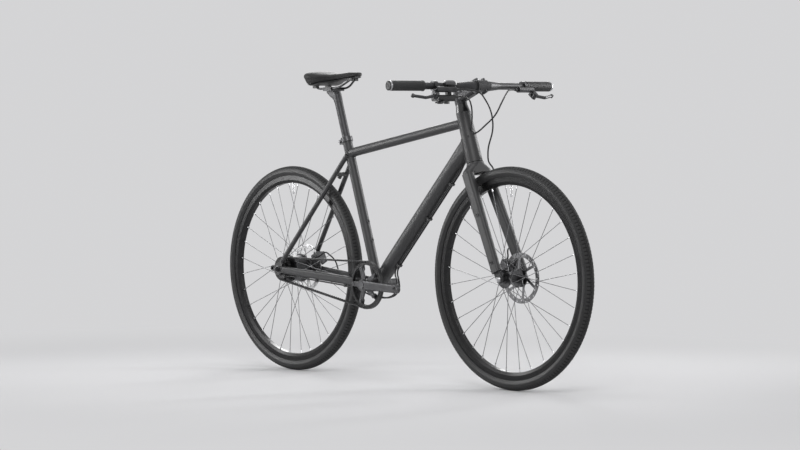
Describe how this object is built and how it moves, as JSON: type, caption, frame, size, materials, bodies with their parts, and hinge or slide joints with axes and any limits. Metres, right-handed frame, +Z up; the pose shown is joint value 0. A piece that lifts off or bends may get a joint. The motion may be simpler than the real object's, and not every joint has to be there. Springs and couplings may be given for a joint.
{
  "type": "flat-bar hybrid bicycle",
  "caption": "Flat-bar hybrid bicycle with a rigid fork, toothed belt drive, hub gear, disc brakes and slim tyres, without pedals.",
  "frame": {"origin": "on the ground, midway between the two wheel axles, in the plane of the wheels", "axes": "+X forward towards the front wheel, +Y to the rider's left, +Z up"},
  "size_m": [1.7698, 0.7022, 1.0145],
  "materials": {
    "frame_paint": "matt black powder coat over welded aluminium tube",
    "fork_paint": "matt black powder coat over aluminium",
    "black_alloy": "satin black anodised",
    "gloss_cover": "gloss black",
    "crank_alloy": "satin dark grey anodised",
    "rim_alloy": "black anodised",
    "hub_alloy": "dark satin",
    "spoke_steel": "black stainless spokes with bright nipples",
    "rotor_steel": "ground stainless steel",
    "fastener_steel": "black oxide",
    "axle_steel": "zinc plated",
    "tyre_rubber": "matt black tyre rubber",
    "grip_rubber": "soft black rubber",
    "hose_jacket": "smooth black jacket",
    "belt_rubber": "black toothed belt",
    "black_plastic": "matt moulded black",
    "window_plastic": "smoked clear window",
    "saddle_skin": "matt black synthetic leather",
    "rail_steel": "black steel tube"
  },
  "bodies": {
    "frame": {"head_tube": "frame_paint", "top_tube": "frame_paint", "down_tube": "frame_paint", "seat_tube": "frame_paint", "bottom_bracket_shell": "frame_paint", "right_chainstay": "frame_paint", "left_chainstay": "frame_paint", "right_seatstay": "frame_paint", "left_seatstay": "frame_paint", "stay_bridges": "frame_paint", "dropouts": "frame_paint", "seat_collar": "black_alloy", "frame_bolts": "fastener_steel", "frame_bearings": "axle_steel", "hose_clips": "black_plastic", "rear_brake_hose": "hose_jacket", "shift_cable": "hose_jacket", "rear_caliper": "black_alloy", "rear_axle": "axle_steel", "drive_belt": "belt_rubber", "shift_joint": "black_plastic"},
    "seat": {"seatpost": "black_alloy", "saddle_clamp": "black_alloy", "saddle_rails": "rail_steel", "saddle_shell": "black_plastic", "saddle_cover": "saddle_skin"},
    "steering": {"fork_crown": "fork_paint", "right_fork_blade": "fork_paint", "left_fork_blade": "fork_paint", "headset_cover": "gloss_cover", "stem": "black_alloy", "stem_faceplate": "black_alloy", "stem_bolts": "fastener_steel", "handlebar": "black_alloy", "grips": "grip_rubber", "brake_bodies": "black_alloy", "shifter_body": "black_plastic", "gear_display": "window_plastic", "front_brake_hose": "hose_jacket", "front_caliper": "black_alloy", "front_axle": "axle_steel"},
    "right_brake_lever": {"right_brake_lever": "black_alloy"},
    "left_brake_lever": {"left_brake_lever": "black_alloy"},
    "upshift_lever": {"upshift_lever": "black_plastic"},
    "downshift_lever": {"downshift_lever": "black_plastic"},
    "front_wheel": {"front_tyre": "tyre_rubber", "front_rim": "rim_alloy", "front_spokes": "spoke_steel", "front_hub": "hub_alloy", "front_rotor": "rotor_steel"},
    "rear_wheel": {"rear_tyre": "tyre_rubber", "rear_rim": "rim_alloy", "rear_spokes": "spoke_steel", "rear_hub": "hub_alloy", "rear_rotor": "rotor_steel"},
    "crankset": {"right_crank": "crank_alloy", "left_crank": "crank_alloy", "front_sprocket": "crank_alloy", "crank_bolts": "fastener_steel"},
    "rear_driver": {"rear_sprocket": "crank_alloy"}
  },
  "joints": [
    {"name": "steering", "type": "hinge", "parent": "frame", "child": "steering", "pos_m": [0.37145, 0, 0.70981], "axis": [-0.309, 0, 0.9511], "range_deg": [-75, 75], "deforming": ["rear_brake_hose", "shift_cable"]},
    {"name": "front_wheel_spin", "type": "hinge", "parent": "steering", "child": "front_wheel", "pos_m": [0.536, 0, 0.349], "axis": [0, 1, 0], "continuous": true},
    {"name": "rear_wheel_spin", "type": "hinge", "parent": "frame", "child": "rear_wheel", "pos_m": [-0.536, 0, 0.349], "axis": [0, 1, 0], "continuous": true},
    {"name": "crank_spin", "type": "hinge", "parent": "frame", "child": "crankset", "pos_m": [-0.09883, 0, 0.309], "axis": [0, 1, 0], "continuous": true, "deforming": ["drive_belt"]},
    {"name": "rear_sprocket_spin", "type": "hinge", "parent": "frame", "child": "rear_driver", "pos_m": [-0.536, 0, 0.349], "axis": [0, 1, 0], "continuous": true},
    {"name": "seatpost_slide", "type": "slide", "parent": "frame", "child": "seat", "axis": [-0.304, 0, 0.9527], "range_m": [-0.05, 0.03]},
    {"name": "right_brake_squeeze", "type": "hinge", "parent": "steering", "child": "right_brake_lever", "pos_m": [0.41246, -0.19799, 0.91932], "axis": [-0.6583, 0.0838, -0.7481], "range_deg": [0, 15], "stiffness_Nm_per_rad": 2, "springref_deg": -5.73},
    {"name": "left_brake_squeeze", "type": "hinge", "parent": "steering", "child": "left_brake_lever", "pos_m": [0.40827, 0.22999, 0.91942], "axis": [0.6583, 0.0838, 0.7481], "range_deg": [0, 15], "stiffness_Nm_per_rad": 2, "springref_deg": -5.73},
    {"name": "upshift_press", "type": "hinge", "parent": "steering", "child": "upshift_lever", "pos_m": [0.38978, -0.16231, 0.90239], "axis": [0, 0.0032, 1], "range_deg": [0, 18], "stiffness_Nm_per_rad": 0.4, "springref_deg": -5.73},
    {"name": "downshift_press", "type": "hinge", "parent": "steering", "child": "downshift_lever", "pos_m": [0.393, -0.13772, 0.90231], "axis": [0, -0.0032, -1], "range_deg": [0, 25], "stiffness_Nm_per_rad": 0.4, "springref_deg": -5.73}
  ],
  "couplings": [
    {"joint": "rear_sprocket_spin", "follows": "crank_spin", "ratio": 2}
  ]
}
